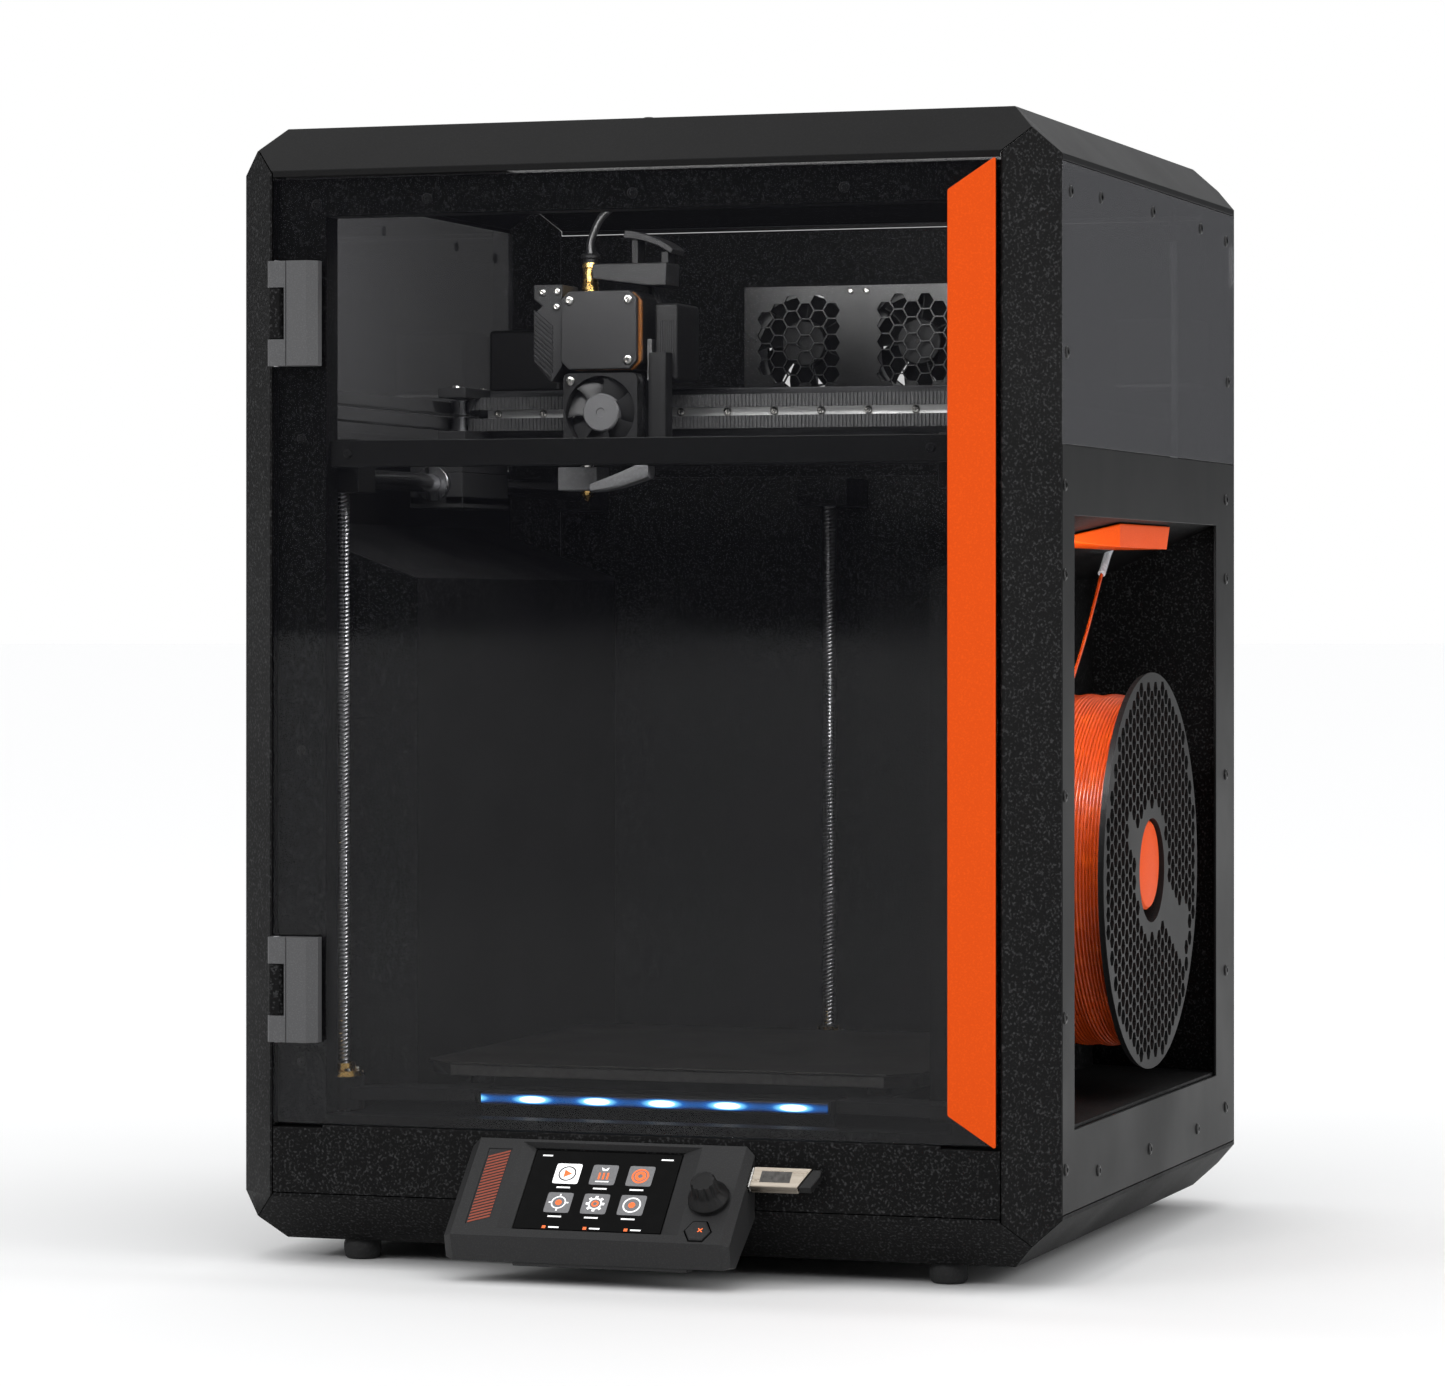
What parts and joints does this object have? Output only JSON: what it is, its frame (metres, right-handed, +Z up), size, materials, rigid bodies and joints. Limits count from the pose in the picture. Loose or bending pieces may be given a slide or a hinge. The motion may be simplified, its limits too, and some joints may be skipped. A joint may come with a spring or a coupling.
{
  "type": "fdm printer",
  "caption": "Enclosed desktop filament printer: moving gantry and toolhead, bed on lead screws, smoked glass door, side spool bay, tilted control panel.",
  "frame": {"origin": "centre of the outer box, on the plane that the feet stand on", "axes": "+Z up, -Y towards the door and the control panel, +X towards the spool bay"},
  "size_m": [0.415, 0.4525, 0.555],
  "materials": {
    "powder_coat": "speckled matt black powder coat",
    "smooth_coat": "smooth satin dark grey paint",
    "smoked_glass": "smoked clear pane",
    "orange_plastic": "orange moulded plastic, satin",
    "black_plastic": "black moulded plastic, fine texture",
    "fan_plastic": "dark grey fan plastic",
    "steel": "ground steel",
    "aluminium": "anodised aluminium, dark",
    "bed_metal": "machined aluminium plate",
    "sheet_coat": "textured dark coating on spring steel",
    "rubber": "black rubber",
    "brass": "turned brass and copper alloy",
    "clear_tube": "translucent tube",
    "filament": "glossy orange filament",
    "screen": "black glass over a lit display",
    "zinc": "folded zinc-plated sheet",
    "led_light": "dark diffuser with five lit spots"
  },
  "bodies": {
    "frame": {"base_tray": "powder_coat", "top_frame": "smooth_coat", "top_window": "smoked_glass", "column_front_left": "powder_coat", "column_front_right": "powder_coat", "front_lower_panel": "powder_coat", "front_inner_frame": "powder_coat", "front_crossbar": "powder_coat", "left_side_panel": "smooth_coat", "left_window": "smoked_glass", "right_side_panel": "smooth_coat", "right_window": "smoked_glass", "spool_bay": "powder_coat", "electronics_cover": "powder_coat", "chamber_liner": "powder_coat", "rear_panel": "powder_coat", "power_supply": "zinc", "exhaust_fan_housing": "black_plastic", "foot_front_left": "rubber", "foot_front_right": "rubber", "foot_rear_left": "rubber", "foot_rear_right": "rubber", "led_bar": "led_light", "y_rod_left": "steel", "y_rod_right": "steel", "spool_holder": "orange_plastic", "filament_tube": "clear_tube", "filament_strand": "filament", "filament_guide": "orange_plastic", "feed_tube": "black_plastic", "lcd_housing": "black_plastic", "lcd_screen": "screen"},
    "door": {"door_glass": "smoked_glass", "door_handle": "orange_plastic", "hinge_leaf_upper": "black_plastic", "hinge_leaf_lower": "black_plastic"},
    "bed": {"bed_frame": "black_plastic", "heatbed": "bed_metal", "print_sheet": "sheet_coat"},
    "lead_screw_front_left": {"lead_screw_front_left": "steel"},
    "lead_screw_front_right": {"lead_screw_front_right": "steel"},
    "lead_screw_rear": {"lead_screw_rear": "steel"},
    "gantry": {"x_beam": "aluminium", "y_carriage_left": "black_plastic", "y_carriage_right": "black_plastic"},
    "toolhead": {"x_carriage": "aluminium", "extruder_body": "black_plastic", "hotend_fan_frame": "fan_plastic", "print_fan_duct": "black_plastic", "hotend": "brass"},
    "idler": {"idler_door": "black_plastic"},
    "hotend_fan_rotor": {"hotend_fan_rotor": "fan_plastic"},
    "exhaust_rotor_left": {"exhaust_rotor_left": "fan_plastic"},
    "exhaust_rotor_right": {"exhaust_rotor_right": "fan_plastic"},
    "spool": {"spool": "black_plastic", "filament_winding": "filament"},
    "knob_shaft": {"knob_shaft": "steel"},
    "knob": {"knob": "black_plastic"},
    "reset_button": {"reset_button": "black_plastic"},
    "usb_stick": {"usb_stick": "aluminium"}
  },
  "joints": [
    {"name": "door_hinge", "type": "hinge", "parent": "frame", "child": "door", "pos_m": [-0.1789, -0.1889, 0.298], "axis": [0, 0, -1], "range_deg": [0, 160]},
    {"name": "bed_z", "type": "slide", "parent": "frame", "child": "bed", "axis": [0, 0, 1], "range_m": [-0.004, 0.276]},
    {"name": "lead_screw_front_left_spin", "type": "hinge", "parent": "frame", "child": "lead_screw_front_left", "pos_m": [-0.1615, -0.1489, 0.21], "axis": [0, 0, 1], "continuous": true},
    {"name": "lead_screw_front_right_spin", "type": "hinge", "parent": "frame", "child": "lead_screw_front_right", "pos_m": [0.1615, -0.1489, 0.21], "axis": [0, 0, 1], "continuous": true},
    {"name": "lead_screw_rear_spin", "type": "hinge", "parent": "frame", "child": "lead_screw_rear", "pos_m": [0, 0.1411, 0.21], "axis": [0, 0, 1], "continuous": true},
    {"name": "gantry_y", "type": "slide", "parent": "frame", "child": "gantry", "axis": [0, 1, 0], "range_m": [-0.105, 0.105]},
    {"name": "toolhead_x", "type": "slide", "parent": "gantry", "child": "toolhead", "axis": [1, 0, 0], "range_m": [-0.04, 0.202]},
    {"name": "idler_hinge", "type": "hinge", "parent": "toolhead", "child": "idler", "pos_m": [-0.094, -0.0149, 0.4815], "axis": [0, 1, 0], "range_deg": [0, 30]},
    {"name": "hotend_fan_spin", "type": "hinge", "parent": "toolhead", "child": "hotend_fan_rotor", "pos_m": [-0.0685, -0.0269, 0.419], "axis": [0, 1, 0], "continuous": true},
    {"name": "exhaust_left_spin", "type": "hinge", "parent": "frame", "child": "exhaust_rotor_left", "pos_m": [-0.033, 0.2091, 0.465], "axis": [0, 1, 0], "continuous": true},
    {"name": "exhaust_right_spin", "type": "hinge", "parent": "frame", "child": "exhaust_rotor_right", "pos_m": [0.033, 0.2091, 0.465], "axis": [0, 1, 0], "continuous": true},
    {"name": "spool_spin", "type": "hinge", "parent": "frame", "child": "spool", "pos_m": [0.17, 0.0381, 0.187], "axis": [1, 0, 0], "continuous": true},
    {"name": "knob_push", "type": "slide", "parent": "frame", "child": "knob_shaft", "axis": [0, 0.7071, -0.7071], "range_m": [0, 0.001], "stiffness_N_per_m": 800, "springref_m": -0.0005},
    {"name": "knob_spin", "type": "hinge", "parent": "knob_shaft", "child": "knob", "pos_m": [0.049, -0.21314, 0.04748], "axis": [0, -0.7071, 0.7071], "continuous": true},
    {"name": "reset_push", "type": "slide", "parent": "frame", "child": "reset_button", "axis": [0, 0.7071, -0.7071], "range_m": [0, 0.001], "stiffness_N_per_m": 800, "springref_m": -0.0005},
    {"name": "usb_pull", "type": "slide", "parent": "frame", "child": "usb_stick", "axis": [1, 0, 0], "range_m": [0, 0.012]}
  ],
  "couplings": [
    {"joint": "lead_screw_front_left_spin", "follows": "bed_z", "rad_per_m": -785.4},
    {"joint": "lead_screw_front_right_spin", "follows": "bed_z", "rad_per_m": -785.4},
    {"joint": "lead_screw_rear_spin", "follows": "bed_z", "rad_per_m": -785.4}
  ]
}
